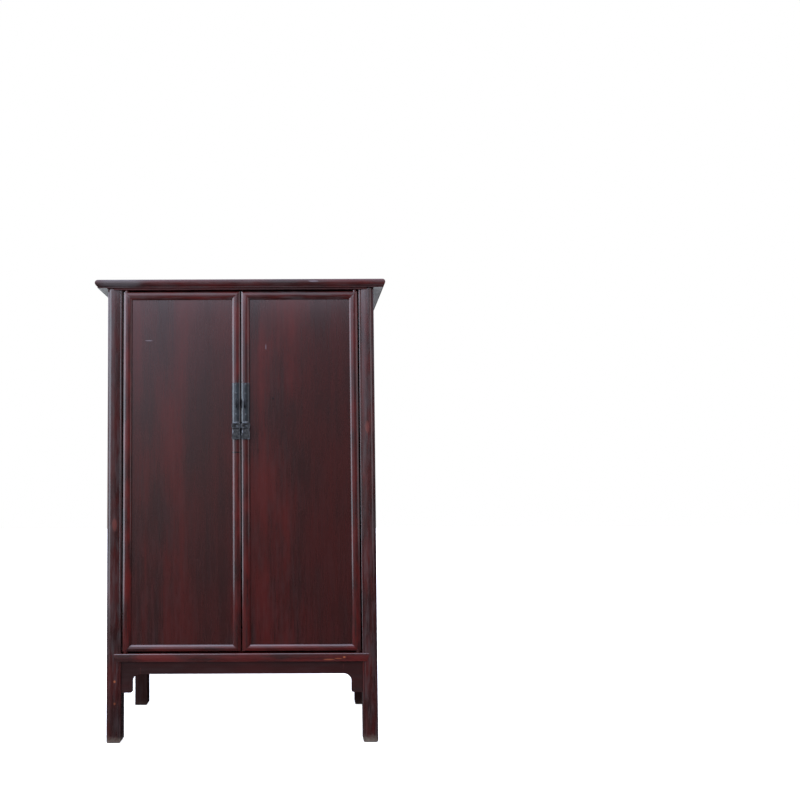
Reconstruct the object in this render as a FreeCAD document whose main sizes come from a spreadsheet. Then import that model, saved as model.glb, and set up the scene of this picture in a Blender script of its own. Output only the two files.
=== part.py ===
import FreeCAD, Part
import math
import os
import Sketcher

# Driving sizes in millimetres, as they go into the sheet
SIZES = {
    # Overall
    "total_height": 1780.0,
    "foot_width": 1050.0,
    "foot_depth": 520.0,
    "splay_share": 0.0063,
    # Crown
    "crown_side_overhang": 42.0,
    "crown_front_overhang": 14.5,
    "crown_thickness": 32.0,
    "crown_rail_width": 105.0,
    "nosing_reach": 9.0,
    "crown_bead_height": 5.0,
    "crown_bead_reach": 1.3,
    "crown_panel_thickness": 10.0,
    "crown_panel_drop": 4.0,
    "crown_batten_width": 40.0,
    "crown_batten_spread": 460.0,
    # Legs
    "leg_width": 58.5,
    "leg_corner_radius": 21.0,
    "leg_face_radius": 90.0,
    "leg_bead_width": 8.0,
    "leg_bead_rise": 1.6,
    "leg_bead_depth": 1.6,
    "leg_tenon_width": 24.0,
    "leg_tenon_height": 18.0,
    "foot_round_radius": 10.0,
    "foot_round_reach": 9.2,
    # Strip under the crown
    "top_strip_height": 6.0,
    "top_strip_depth": 26.0,
    "top_strip_lap": 30.5,
    # Bottom rails
    "rail_top_height": 343.5,
    "rail_height": 31.0,
    "rail_depth": 40.0,
    "rail_proud": 1.5,
    "rail_rise": 1.0,
    "rail_edge_radius": 4.5,
    "rail_tip_lap": 26.5,
    "rail_tip_slant": 8.5,
    "rail_tip_depth": 9.0,
    "tenon_length": 22.0,
    "tenon_depth": 14.0,
    "tenon_set_back": 16.0,
    "tenon_shoulder": 6.0,
    # Aprons and spandrels
    "apron_drop": 49.0,
    "apron_set_back": 9.0,
    "apron_thickness": 14.0,
    "tongue": 6.0,
    "spandrel_drop": 71.5,
    "spandrel_width": 43.0,
    "spandrel_curve": 31.0,
    "spandrel_corner": 7.0,
    # Side and back panels
    "side_panel_set_back": 20.0,
    "side_panel_thickness": 10.0,
    "back_panel_set_back": 16.0,
    "back_panel_thickness": 10.0,
    "panel_batten_height": 34.0,
    "panel_batten_thickness": 12.0,
    "rear_mid_rail_share": 0.495,
    "rear_mid_rail_width": 32.0,
    "rear_mid_rail_set_back": 9.0,
    "rear_mid_rail_depth": 24.0,
    # Floor, shelves and bearers
    "board_thickness": 10.0,
    "board_drop": 4.0,
    "board_gap": 0.5,
    "floor_batten_width": 36.0,
    "floor_batten_spread": 440.0,
    "lower_shelf_share": 0.324,
    "upper_shelf_share": 0.659,
    "shelf_thickness": 14.0,
    "shelf_door_gap": 5.0,
    "bearer_height": 30.0,
    "bearer_width": 20.0,
    "bearer_tenon": 12.0,
    # Doors
    "door_top_gap": 6.5,
    "door_bottom_gap": 8.0,
    "door_side_gap": 6.0,
    "door_middle_gap": 5.0,
    "door_recess": 3.0,
    "door_thickness": 24.0,
    "stile_width": 32.0,
    "door_head_rail_width": 30.0,
    "door_foot_rail_width": 24.0,
    "stile_edge_drop": 4.0,
    "stile_crest_drop": 1.5,
    "stile_face_rise": 2.6,
    "stile_lip_width": 9.0,
    "stile_lip_drop": 7.5,
    "stile_lip_rise": 0.9,
    "door_panel_set_back": 9.0,
    "door_panel_thickness": 8.0,
    "door_batten_height": 34.0,
    "pivot_radius": 8.0,
    "pivot_inset": 10.5,
    "pivot_depth": 9.0,
    "bottom_pivot_seat": 8.0,
    "top_pivot_seat": 12.0,
    "pivot_play": 0.08,
    "pivot_end_play": 0.3,
    # Plates, nails and lock lugs
    "plate_top_drop": 352.5,
    "plate_length": 218.0,
    "plate_width": 31.5,
    "plate_thickness": 1.8,
    "nail_head_radius": 3.4,
    "nail_head_rise": 1.5,
    "nail_shank_radius": 1.2,
    "nail_length": 12.0,
    "nail_edge": 6.0,
    "lug_drop": 78.0,
    "lug_length": 38.0,
    "lug_reach": 12.0,
    "lug_straight": 6.0,
    "lug_thickness": 8.0,
    "lug_inset": 13.5,
    "lug_hole_radius": 3.4,
    "lug_hole_reach": 6.2,
    "lug_shank_height": 14.0,
    "lug_shank_length": 14.0,
    # Pulls and their staples
    "pull_drop": 152.0,
    "pull_pivot_reach": 4.6,
    "pull_inset": 15.8,
    "pull_pin_radius": 2.2,
    "pull_barrel_radius": 4.0,
    "pull_barrel_half_width": 9.0,
    "pull_side_play": 0.3,
    "pull_back_play": 0.4,
    "pull_thickness": 3.2,
    "cap_thickness": 4.8,
    "cap_half_width": 16.8,
    "cap_shoulder": 7.0,
    "cap_height": 21.0,
    "waist_half_width": 14.0,
    "waist_height": 3.0,
    "pull_half_width": 16.2,
    "pull_length": 64.5,
    "pull_corner": 2.0,
    "staple_thickness": 3.6,
    "staple_eye_radius": 4.4,
    "staple_shank_height": 5.0,
    "staple_shank_length": 14.0,
    # How far cutting shapes run past what they cut
    "overrun": 20.0,
}

# Heights of repeated bars, as shares of the space that they divide
SIDE_BATTEN_SHARES = (0.18, 0.52, 0.86)
DOOR_BATTEN_SHARES = (0.17, 0.5, 0.83)
# Where a leg's rounded faces stand furthest out, as a share of its corner radius
LEG_CREST_SHARE = 1.15
# Places of the nails down a face plate, as shares of its length
NAIL_PLACE_SHARES = (0.0, 0.15, 0.53)

doc = FreeCAD.newDocument("tapered_cabinet")
sheet = doc.addObject("Spreadsheet::Sheet", "Sizes")
for row, (alias, value) in enumerate(SIZES.items(), 1):
    sheet.set(f"A{row}", alias)
    sheet.set(f"B{row}", str(value))
    sheet.setAlias(f"B{row}", alias)
doc.recompute()


# Sizes and expressions
class Size:
    """A size worked out from the sheet: its value now, and the expression that binds it."""

    def __init__(self, value, text):
        self.value = value
        self.text = text

    def __add__(self, other):
        other = as_size(other)
        return Size(self.value + other.value, f"({self.text} + {other.text})")

    def __sub__(self, other):
        other = as_size(other)
        return Size(self.value - other.value, f"({self.text} - {other.text})")

    def __mul__(self, other):
        other = as_size(other)
        return Size(self.value * other.value, f"{self.text} * {other.text}")

    def __truediv__(self, other):
        other = as_size(other)
        return Size(self.value / other.value, f"{self.text} / ({other.text})")

    def __neg__(self):
        return Size(-self.value, f"(-{self.text})")

    __radd__ = __add__
    __rmul__ = __mul__


def as_size(value):
    return value if isinstance(value, Size) else Size(float(value), f"{float(value):.9g}")


def root(size):
    return Size(math.sqrt(size.value), f"sqrt({size.text})")


class SheetSizes:
    """Reads each alias of the sheet as a Size."""

    def __getattr__(self, alias):
        return Size(float(sheet.get(alias)), f"Sizes.{alias}")


S = SheetSizes()
ZERO = as_size(0)


def arc_radius(chord, rise):
    """Radius of the arc that stands this far proud of its chord."""
    return chord * chord / (rise * 8) + rise / 2


# Frames: each wall leans in, with x along the wall, y into the cabinet and z up the wall
def wall_frame(x, y, yaw):
    lean = f"rotation(vector(1; 0; 0); -atan({S.splay_share.text}))"
    turn = f"rotation(vector(0; 0; 1); {yaw})"
    return f"placement(vector({as_size(x).text}; {as_size(y).text}; 0); {turn} * {lean})"


WORLD = ""
FRONT = wall_frame(0, -S.foot_depth / 2, 0)
RIGHT = wall_frame(S.foot_width / 2, 0, 90)
REAR = wall_frame(0, S.foot_depth / 2, 180)
LEFT = wall_frame(-S.foot_width / 2, 0, 270)


def placed(frame, x, y, z, turn="rotation(vector(0; 0; 1); 0)"):
    """The expression of a placement inside a frame."""
    local = f"placement(vector({as_size(x).text}; {as_size(y).text}; {as_size(z).text}); {turn})"
    return f"{frame} * {local}" if frame else local


# Sketches and solids
def flipped(outline):
    """The same outline walked the other way round, each arc kept on its own side of the piece."""
    corners = [corner[:2] for corner in outline]
    arcs = [corner[2:] for corner in outline]
    count = len(outline)
    return [corners[count - 1 - i] + arcs[(count - 2 - i) % count] for i in range(count)]


def mapped(outline, place, flip=False):
    """Moves an outline's corners by a rule, and walks it the other way where the rule mirrors it."""
    moved = [place(*corner[:2]) + corner[2:] for corner in outline]
    return flipped(moved) if flip else moved


def edge_between(start, end, radius):
    """A line, or an arc that bulges to the right of the way from start to end."""
    if radius is None:
        return Part.LineSegment(start, end)
    chord = end - start
    reach = abs(radius.value)
    rise = reach - math.sqrt(reach * reach - chord.Length * chord.Length / 4)
    aside = FreeCAD.Vector(chord.y, -chord.x, 0).normalize()
    middle = (start + end) * 0.5 + aside * math.copysign(rise, radius.value)
    # The sketcher numbers the ends of an arc as if it ran anticlockwise
    return Part.Arc(start, middle, end) if radius.value > 0 else Part.Arc(end, middle, start)


def end_at(geometry, point):
    """Which end of a sketch edge lies at a point, as constraints number it."""
    to_start = (geometry.StartPoint - point).Length
    to_end = (geometry.EndPoint - point).Length
    return 1 if to_start < to_end else 2


def sketch(body, name, plane, outline, offset):
    """A closed outline, walked anticlockwise; a corner's third value is the arc's radius to the next."""
    drawing = body.newObject("Sketcher::SketchObject", name)
    planes = [item for item in body.Origin.OriginFeatures if item.Role == plane]
    drawing.AttachmentSupport = [(planes[0], "")]
    drawing.MapMode = "FlatFace"
    for axis, distance in zip("xyz", offset):
        drawing.setExpression(f".AttachmentOffset.Base.{axis}", as_size(distance).text)
    corners = [(as_size(corner[0]), as_size(corner[1])) for corner in outline]
    points = [FreeCAD.Vector(x.value, y.value, 0) for x, y in corners]
    radii = [corner[2] if len(corner) > 2 else None for corner in outline]
    count = len(points)
    for i in range(count):
        drawing.addGeometry(edge_between(points[i], points[(i + 1) % count], radii[i]))
    for i in range(count):
        after = (i + 1) % count
        this_end = end_at(drawing.Geometry[i], points[after])
        next_end = end_at(drawing.Geometry[after], points[after])
        drawing.addConstraint(Sketcher.Constraint("Coincident", i, this_end, after, next_end))
    for i in range(count):
        corner_end = end_at(drawing.Geometry[i], points[i])
        for kind, size in zip(("DistanceX", "DistanceY"), corners[i]):
            bound = drawing.addConstraint(Sketcher.Constraint(kind, -1, 1, i, corner_end, size.value))
            drawing.setExpression(f"Constraints[{bound}]", size.text)
        if radii[i] is not None:
            bound = drawing.addConstraint(Sketcher.Constraint("Radius", i, abs(radii[i].value)))
            drawing.setExpression(f"Constraints[{bound}]", f"abs({radii[i].text})")
    drawing.Visibility = False
    return drawing


def prism(name, plane, outline, start, end, frame=WORLD):
    """An outline padded from start to end, across the plane that it is drawn on."""
    body = doc.addObject("PartDesign::Body", name)
    level = -as_size(end) if plane == "XZ_Plane" else start
    pad = body.newObject("PartDesign::Pad", f"{name}_pad")
    drawing = sketch(body, f"{name}_outline", plane, outline, (0, 0, level))
    pad.Profile = drawing
    pad.setExpression("Length", (as_size(end) - start).text)
    body.Tip = pad
    if frame:
        body.setExpression("Placement", frame)
    return body


def leaning(name, outline, low, high, low_shift, high_shift, frame=WORLD):
    """A level outline lofted between two heights, moved aside on the way up."""
    body = doc.addObject("PartDesign::Body", name)
    foot = sketch(body, f"{name}_foot", "XY_Plane", outline, low_shift + (low,))
    head = sketch(body, f"{name}_head", "XY_Plane", outline, high_shift + (high,))
    loft = body.newObject("PartDesign::AdditiveLoft", f"{name}_loft")
    loft.Profile = foot
    loft.Sections = [head]
    loft.Ruled = True
    body.Tip = loft
    if frame:
        body.setExpression("Placement", frame)
    return body


def turned(name, outline, x, y, z, frame):
    """A piece turned about an axis that points into the wall, from half of its section."""
    body = doc.addObject("PartDesign::Body", name)
    drawing = sketch(body, f"{name}_section", "XY_Plane", outline, (0, 0, 0))
    turning = body.newObject("PartDesign::Revolution", f"{name}_turning")
    turning.Profile = drawing
    turning.ReferenceAxis = (drawing, ["V_Axis"])
    turning.Angle = 360
    body.Tip = turning
    body.setExpression("Placement", placed(frame, x, y, z))
    return body


def box(name, low, high, frame=WORLD):
    block = doc.addObject("Part::Box", name)
    for side, start, end in zip(("Length", "Width", "Height"), low, high):
        block.setExpression(side, (as_size(end) - start).text)
    block.setExpression("Placement", placed(frame, *low))
    return block


def rod(name, radius, length, start, frame, turn):
    bar = doc.addObject("Part::Cylinder", name)
    bar.setExpression("Radius", radius.text)
    bar.setExpression("Height", length.text)
    bar.setExpression("Placement", placed(frame, *start, turn))
    return bar


ALONG_X = "rotation(vector(0; 1; 0); 90)"


def joined(name, pieces):
    union = doc.addObject("Part::MultiFuse", name)
    union.Shapes = pieces
    return union


def cut(name, base, tools):
    result = doc.addObject("Part::Cut", name)
    result.Base = base
    result.Tool = tools[0] if len(tools) == 1 else joined(f"{name}_cutters", tools)
    return result


def shared(name, first, second):
    result = doc.addObject("Part::Common", name)
    result.Base = first
    result.Tool = second
    return result


def mirrored(name, source, across):
    result = doc.addObject("Part::Mirroring", name)
    result.Source = source
    result.Normal = across
    return result


def group(name, pieces):
    result = doc.addObject("Part::Compound", name)
    result.Links = pieces
    return result


ACROSS_X = FreeCAD.Vector(1, 0, 0)
ACROSS_Y = FreeCAD.Vector(0, 1, 0)
subparts = []


def keep(item, label):
    """Names a finished sub-part, which is then written to a file of that name."""
    item.Label = label
    subparts.append(item)
    return item


def rectangle(low_x, low_y, high_x, high_y):
    return [(low_x, low_y), (high_x, low_y), (high_x, high_y), (low_x, high_y)]


# Places that several pieces share
leg_top = S.total_height - S.crown_thickness
rail_bottom = S.rail_top_height - S.rail_height
apron_bottom = rail_bottom - S.apron_drop
panel_foot = S.rail_top_height - S.tongue
panel_head = leg_top + S.tongue
floor_top = S.rail_top_height - S.board_drop
floor_bottom = floor_top - S.board_thickness
crown_half_length = S.foot_width / 2 - S.splay_share * leg_top + S.crown_side_overhang
crown_half_depth = S.foot_depth / 2 - S.splay_share * leg_top + S.crown_front_overhang
door_top = leg_top - S.top_strip_height - S.door_top_gap
door_bottom = S.rail_top_height + S.door_bottom_gap
plate_top = door_top - S.plate_top_drop
plate_bottom = plate_top - S.plate_length
lug_middle = plate_top - S.lug_drop
pull_pivot = plate_top - S.pull_drop


def front_reach(height):
    """Half the opening between the legs of the front or rear wall, at a height."""
    return S.foot_width / 2 - S.leg_width - S.splay_share * height


def height_at(share):
    """A height at a share of the way from the bottom rails to the crown."""
    return S.rail_top_height + (leg_top - S.rail_top_height) * share


def side_reach(height):
    """Half the opening between the legs of a side wall, at a height."""
    return S.foot_depth / 2 - S.leg_width - S.splay_share * height


def between_legs(reach, low, high, past=ZERO):
    """The outline of a piece that fills the opening between two legs, and runs past them."""
    return [
        (-(reach(low) + past), low),
        (reach(low) + past, low),
        (reach(high) + past, high),
        (-(reach(high) + past), high),
    ]


# Legs: round outside and square inside, with a bead along both inner edges
def leg_outline():
    """Section of the front left leg, from its outer corner at zero."""
    corner, face = S.leg_corner_radius, S.leg_face_radius
    bead_start = S.leg_width - S.leg_bead_width
    bead_radius = arc_radius(S.leg_bead_width, S.leg_bead_rise)
    # The corner arc meets both face arcs smoothly: all three centres lie on lines worked out here
    crest = corner * LEG_CREST_SHARE
    spread = face - corner
    lead = root(spread * spread * 2 - (face - crest) * (face - crest))
    lean_cosine = (face - crest + lead) / (spread * 2)
    lean_sine = (lead - face + crest) / (spread * 2)
    join = crest - face * lean_sine
    join_depth = face - face * lean_cosine
    edge_depth = face - root(face * face - (bead_start - crest) * (bead_start - crest))
    bead_depth = edge_depth + S.leg_bead_depth
    return [
        (join, join_depth, face),
        (bead_start, edge_depth),
        (bead_start, bead_depth, bead_radius),
        (S.leg_width, bead_depth),
        (S.leg_width, S.leg_width),
        (bead_depth, S.leg_width, bead_radius),
        (bead_depth, bead_start),
        (edge_depth, bead_start, face),
        (join_depth, join, corner),
    ]


def foot_outline(outer):
    """The outline of a leg with its foot worn round, from its outer face at the floor."""
    inner, over = outer + S.leg_width, S.overrun
    radius, reach = S.foot_round_radius, S.foot_round_reach
    return [
        (outer + reach, ZERO),
        (inner - reach, ZERO, radius),
        (inner - reach + radius, radius),
        (inner + over, radius),
        (inner + over, S.total_height),
        (outer - over, S.total_height),
        (outer - over, radius),
        (outer + reach - radius, radius, radius),
    ]


def leg_blank():
    half_width, half_depth = S.foot_width / 2, S.foot_depth / 2
    lean = S.splay_share * leg_top
    post = leaning(
        "leg_post", leg_outline(), ZERO, leg_top,
        (-half_width, -half_depth), (lean - half_width, lean - half_depth),
    )
    side = (S.leg_width - S.leg_tenon_width) / 2
    low = (lean - half_width + side, lean - half_depth + side, leg_top)
    high = (low[0] + S.leg_tenon_width, low[1] + S.leg_tenon_width, leg_top + S.leg_tenon_height)
    whole = joined("leg_whole", [post, box("leg_tenon", low, high)])
    across = prism("foot_across", "XZ_Plane", foot_outline(-half_width), -half_depth - S.overrun, ZERO)
    back = prism("foot_back", "YZ_Plane", foot_outline(-half_depth), -half_width - S.overrun, ZERO)
    return shared("leg_blank", shared("leg_rounded_across", whole, across), back)


# Bottom rails: a convex face, pointed ends that lap the legs, and tenons
def rail_section():
    """Section across a bottom rail, as depth and height: a slightly crowned face under a rounded upper edge."""
    edge = S.rail_rise - S.rail_proud
    face_height = S.rail_height - S.rail_edge_radius
    return [
        (edge, rail_bottom),
        (S.rail_depth - S.rail_proud, rail_bottom),
        (S.rail_depth - S.rail_proud, S.rail_top_height),
        (edge + S.rail_edge_radius, S.rail_top_height, S.rail_edge_radius),
        (edge, S.rail_top_height - S.rail_edge_radius, arc_radius(face_height, S.rail_rise)),
    ]


def tipped_outline(reach):
    """The front layer of a rail: its upper corners reach further over the legs than its lower ones."""
    low = reach(rail_bottom) + S.rail_tip_lap - S.rail_tip_slant
    high = reach(S.rail_top_height) + S.rail_tip_lap
    return [(-low, rail_bottom), (low, rail_bottom), (high, S.rail_top_height), (-high, S.rail_top_height)]


def bottom_rail(name, reach, frame):
    length = reach(rail_bottom) + S.leg_width
    bar = prism(f"{name}_bar", "YZ_Plane", rail_section(), -length, length, frame)
    tips = prism(
        f"{name}_tips", "XZ_Plane", tipped_outline(reach), -S.overrun, S.rail_tip_depth, frame
    )
    core = prism(
        f"{name}_core", "XZ_Plane", between_legs(reach, rail_bottom, S.rail_top_height),
        S.rail_tip_depth, S.rail_depth, frame,
    )
    tenon_reach = reach(S.rail_top_height) + S.tenon_length
    tenons = box(
        f"{name}_tenons",
        (-tenon_reach, S.tenon_set_back, rail_bottom + S.tenon_shoulder),
        (tenon_reach, S.tenon_set_back + S.tenon_depth, S.rail_top_height - S.tenon_shoulder),
        frame,
    )
    return shared(f"{name}_shaped", bar, joined(f"{name}_outlines", [tips, core, tenons]))


# Aprons and spandrels
apron_top = rail_bottom + S.tongue
spandrel_foot = apron_bottom - S.spandrel_drop
apron_back = S.apron_set_back + S.apron_thickness


def spandrel_reach(reach):
    """Where a spandrel ends and the apron between two spandrels begins."""
    return reach(apron_bottom) - S.spandrel_width - S.spandrel_curve


def apron(name, reach, frame):
    half = spandrel_reach(reach)
    outline = rectangle(-half, apron_bottom, half, apron_top)
    return prism(name, "XZ_Plane", outline, S.apron_set_back, apron_back, frame)


def spandrel(name, reach, frame):
    """The spandrel at the left end of a wall, its curve running up into the apron."""
    end = -spandrel_reach(reach)
    inner = end - S.spandrel_curve
    corner = S.spandrel_corner
    outline = [
        (-reach(spandrel_foot), spandrel_foot),
        (inner - corner, spandrel_foot, corner),
        (inner, spandrel_foot + corner),
        (inner, apron_bottom - S.spandrel_curve, -S.spandrel_curve),
        (end, apron_bottom),
        (end, apron_top),
        (-reach(apron_top), apron_top),
    ]
    return prism(name, "XZ_Plane", outline, S.apron_set_back, apron_back, frame)


# Crown: a mitred frame with a nosed edge over a bead
def crown_section(flip=False):
    """Section across a crown rail, from its outer edge inwards and from its underside up."""
    nosing, bead = S.nosing_reach, S.crown_bead_height
    groove_top = S.crown_thickness - S.crown_panel_drop
    groove_bottom = groove_top - S.crown_panel_thickness
    groove_depth = S.crown_rail_width - S.tongue
    return [
        (nosing, ZERO),
        (S.crown_rail_width, ZERO),
        (S.crown_rail_width, groove_bottom),
        (groove_depth, groove_bottom),
        (groove_depth, groove_top),
        (S.crown_rail_width, groove_top),
        (S.crown_rail_width, S.crown_thickness),
        (nosing, S.crown_thickness, arc_radius(S.crown_thickness - bead, nosing)),
        (nosing, bead, arc_radius(bead, S.crown_bead_reach)),
    ]


def crown_rails():
    half, deep, width = crown_half_length, crown_half_depth, S.crown_rail_width
    front_section = mapped(crown_section(), lambda u, v: (u - deep, v + leg_top))
    end_section = mapped(crown_section(), lambda u, v: (u - half, v + leg_top))
    front_bar = prism("crown_front_bar", "YZ_Plane", front_section, -half, half)
    end_bar = prism("crown_end_bar", "XZ_Plane", end_section, -deep, deep)
    front_mitre = [(-half, -deep), (half, -deep), (half - width, width - deep), (width - half, width - deep)]
    end_mitre = [(-half, -deep), (width - half, width - deep), (width - half, deep - width), (-half, deep)]
    front_plan = prism("crown_front_plan", "XY_Plane", front_mitre, leg_top, S.total_height)
    end_plan = prism("crown_end_plan", "XY_Plane", end_mitre, leg_top, S.total_height)
    front = shared("crown_front_blank", front_bar, front_plan)
    left = shared("crown_left_blank", end_bar, end_plan)
    return front, mirrored("crown_rear_blank", front, ACROSS_Y), left, mirrored("crown_right_blank", left, ACROSS_X)


# The door on the left; the one on the right is its mirror image
door_back = S.door_recess + S.door_thickness
inner_edge = -S.door_middle_gap / 2


def door_edge(height):
    """The outer edge of the left door at a height."""
    return S.door_side_gap - front_reach(height)


def door_face(width):
    """The front of a door member's section: a convex face, then a steeper lip that falls to the panel."""
    face, lip = width - S.stile_lip_width, S.stile_lip_width
    fall = S.stile_edge_drop - S.stile_crest_drop
    lip_fall = S.stile_lip_drop - S.stile_crest_drop
    return [
        (ZERO, S.stile_edge_drop, arc_radius(root(face * face + fall * fall), S.stile_face_rise)),
        (face, S.stile_crest_drop, arc_radius(root(lip * lip + lip_fall * lip_fall), S.stile_lip_rise)),
        (width, S.stile_lip_drop),
    ]


def door_moulding(width):
    """Section of a door member, from its outer edge at zero to the groove for the panel."""
    groove_front = S.door_panel_set_back
    groove_back = groove_front + S.door_panel_thickness
    return door_face(width) + [
        (width, groove_front),
        (width - S.tongue, groove_front),
        (width - S.tongue, groove_back),
        (width, groove_back),
        (width, S.door_thickness),
        (ZERO, S.door_thickness),
    ]


def door_frame():
    """The four mitred members of the door frame, as stiles and rails."""
    low, high = door_bottom, door_top
    sight_low, sight_high = low + S.door_foot_rail_width, high - S.door_head_rail_width
    sight_outer_low = door_edge(sight_low) + S.stile_width
    sight_outer_high = door_edge(sight_high) + S.stile_width
    sight_inner = inner_edge - S.stile_width
    # Each mitre runs at half a right angle from the corner of the panel
    outer_low = (sight_outer_low - S.door_foot_rail_width, low)
    outer_high = (sight_outer_high - S.door_head_rail_width, high)
    inner_low = (sight_inner + S.door_foot_rail_width, low)
    inner_high = (sight_inner + S.door_head_rail_width, high)
    corners = {
        "outer_stile": [
            (door_edge(low), low), outer_low, (sight_outer_low, sight_low),
            (sight_outer_high, sight_high), outer_high, (door_edge(high), high),
        ],
        "inner_stile": [
            inner_low, (inner_edge, low), (inner_edge, high), inner_high,
            (sight_inner, sight_high), (sight_inner, sight_low),
        ],
        "door_top_rail": [
            outer_high, (sight_outer_high, sight_high), (sight_inner, sight_high), inner_high,
        ],
        "door_bottom_rail": [
            outer_low, inner_low, (sight_inner, sight_low), (sight_outer_low, sight_low),
        ],
    }
    recess = S.door_recess
    stile = door_moulding(S.stile_width)
    head, foot = door_moulding(S.door_head_rail_width), door_moulding(S.door_foot_rail_width)
    start, end = door_edge(low) - S.overrun, inner_edge + S.overrun
    bars = {
        "outer_stile": leaning(
            "outer_stile_bar", mapped(stile, lambda u, v: (u, v + recess)), low, high,
            (door_edge(low), ZERO), (door_edge(high), ZERO), FRONT,
        ),
        "inner_stile": prism(
            "inner_stile_bar", "XY_Plane",
            mapped(stile, lambda u, v: (inner_edge - u, v + recess), flip=True), low, high, FRONT,
        ),
        "door_top_rail": prism(
            "door_top_bar", "YZ_Plane", mapped(head, lambda u, v: (v + recess, high - u)), start, end, FRONT
        ),
        "door_bottom_rail": prism(
            "door_bottom_bar", "YZ_Plane",
            mapped(foot, lambda u, v: (v + recess, u + low), flip=True), start, end, FRONT,
        ),
    }
    members = {}
    for member, outline in corners.items():
        mitre = prism(f"{member}_mitre", "XZ_Plane", outline, -S.overrun, door_back + S.overrun, FRONT)
        members[member] = shared(f"{member}_shaped", bars[member], mitre)
    return members


def door_panel():
    low = door_bottom + S.door_foot_rail_width - S.tongue
    high = door_top - S.door_head_rail_width + S.tongue
    inner = inner_edge - S.stile_width + S.tongue
    side = S.stile_width - S.tongue
    outline = [(door_edge(low) + side, low), (inner, low), (inner, high), (door_edge(high) + side, high)]
    front = S.door_recess + S.door_panel_set_back
    return prism("door_panel", "XZ_Plane", outline, front, front + S.door_panel_thickness, FRONT)


def bars_across(name, shares, low, high, height, start_at, end_at_height, front, back, frame):
    """Level bars at shares of the height between low and high."""
    bars = []
    for number, share in enumerate(shares, 1):
        foot = low + (high - low) * share - height / 2
        head = foot + height
        outline = [(start_at(foot), foot), (end_at_height(foot), foot),
                   (end_at_height(head), head), (start_at(head), head)]
        bars.append(prism(f"{name}_{number}", "XZ_Plane", outline, front, back, frame))
    return bars


def door_battens():
    low = door_bottom + S.door_foot_rail_width
    high = door_top - S.door_head_rail_width
    front = S.door_recess + S.door_panel_set_back + S.door_panel_thickness
    return group("door_battens", bars_across(
        "door_batten", DOOR_BATTEN_SHARES, low, high, S.door_batten_height,
        lambda height: door_edge(height) + S.stile_width, lambda height: inner_edge - S.stile_width,
        front, door_back, FRONT,
    ))


# Door pivots and the sockets that they turn in
PIVOT_TURN = f"rotation(vector(0; 1; 0); atan({S.splay_share.text}))"


def pivot_rod(name, low, high, play=ZERO):
    """A round bar on the door's axis, which leans with the outer stile."""
    start = (door_edge(low) + S.pivot_inset, S.door_recess + S.pivot_depth, low)
    return rod(name, S.pivot_radius + play, high - low, start, FRONT, PIVOT_TURN)


def door_pivots():
    inside = S.overrun
    bottom = pivot_rod(
        "bottom_pivot", S.rail_top_height - S.bottom_pivot_seat, door_bottom + inside
    )
    top = pivot_rod("top_pivot", door_top - inside, leg_top + S.top_pivot_seat)
    return [bottom, top]


def pivot_sockets():
    seat = S.rail_top_height - S.bottom_pivot_seat - S.pivot_end_play
    bottom = pivot_rod("bottom_socket", seat, S.rail_top_height + S.pivot_end_play, S.pivot_play)
    head = leg_top + S.top_pivot_seat + S.pivot_end_play
    strip = leg_top - S.top_strip_height - S.pivot_end_play
    top = pivot_rod("top_socket", strip, head, S.pivot_play)
    return bottom, top


# Door hardware
plate_front = S.door_recess - S.plate_thickness


def face_plate():
    """A thin plate bent over the face and the lip of the inner stile."""
    edge, crest, lip = door_face(S.stile_width)
    thick = S.plate_thickness
    outline = [
        (edge[0], edge[1] - thick, edge[2]),
        (crest[0], crest[1] - thick, crest[2]),
        (lip[0], lip[1] - thick),
        (lip[0], lip[1], -crest[2]),
        (crest[0], crest[1], -edge[2]),
        edge[:2],
    ]
    moved = mapped(outline, lambda u, v: (inner_edge - u, v + S.door_recess), flip=True)
    bent = prism("bent_sheet", "XY_Plane", moved, plate_bottom, plate_top, FRONT)
    extent = box(
        "plate_extent", (inner_edge - S.plate_width, -S.overrun, plate_bottom),
        (inner_edge, door_back, plate_top), FRONT,
    )
    return shared("face_plate_blank", bent, extent)


def plate_nails():
    """Round-headed nails down the middle of a plate."""
    x = inner_edge - S.plate_width / 2
    top = plate_top - S.nail_edge
    head, shank = S.nail_head_radius, S.nail_shank_radius
    section = [
        (ZERO, -S.nail_head_rise),
        (ZERO, S.nail_length),
        (shank, S.nail_length),
        (shank, ZERO),
        (head, ZERO, arc_radius(head * 2, S.nail_head_rise)),
    ]
    outline = flipped(section)
    nails = []
    for number, share in enumerate(NAIL_PLACE_SHARES, 1):
        height = top - S.plate_length * share
        nails.append(turned(f"nail_{number}", outline, x, plate_front, height, FRONT))
    return group("plate_nails", nails)


def lock_lug():
    """A D-shaped lug that stands edge on, with a hole for the bar of a padlock."""
    x = inner_edge - S.lug_inset
    half = S.lug_length / 2
    seat = plate_front + S.plate_thickness / 2
    nose = plate_front - S.lug_straight
    bulge = arc_radius(S.lug_length, S.lug_reach - S.lug_straight)
    outline = [
        (seat, lug_middle - half),
        (seat, lug_middle + half),
        (nose, lug_middle + half, bulge),
        (nose, lug_middle - half),
    ]
    sides = (x - S.lug_thickness / 2, x + S.lug_thickness / 2)
    flange = prism("lug_flange", "YZ_Plane", outline, *sides, FRONT)
    shank = box(
        "lug_shank",
        (sides[0], plate_front, lug_middle - S.lug_shank_height / 2),
        (sides[1], plate_front + S.lug_shank_length, lug_middle + S.lug_shank_height / 2),
        FRONT,
    )
    start = (sides[0] - S.overrun, plate_front - S.lug_hole_reach, lug_middle)
    hole = rod("lug_hole", S.lug_hole_radius, S.lug_thickness + S.overrun * 2, start, FRONT, ALONG_X)
    return cut("lock_lug", joined("lug_solid", [flange, shank]), [hole])


pull_x = inner_edge - S.pull_inset
pull_y = plate_front - S.pull_pivot_reach


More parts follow.
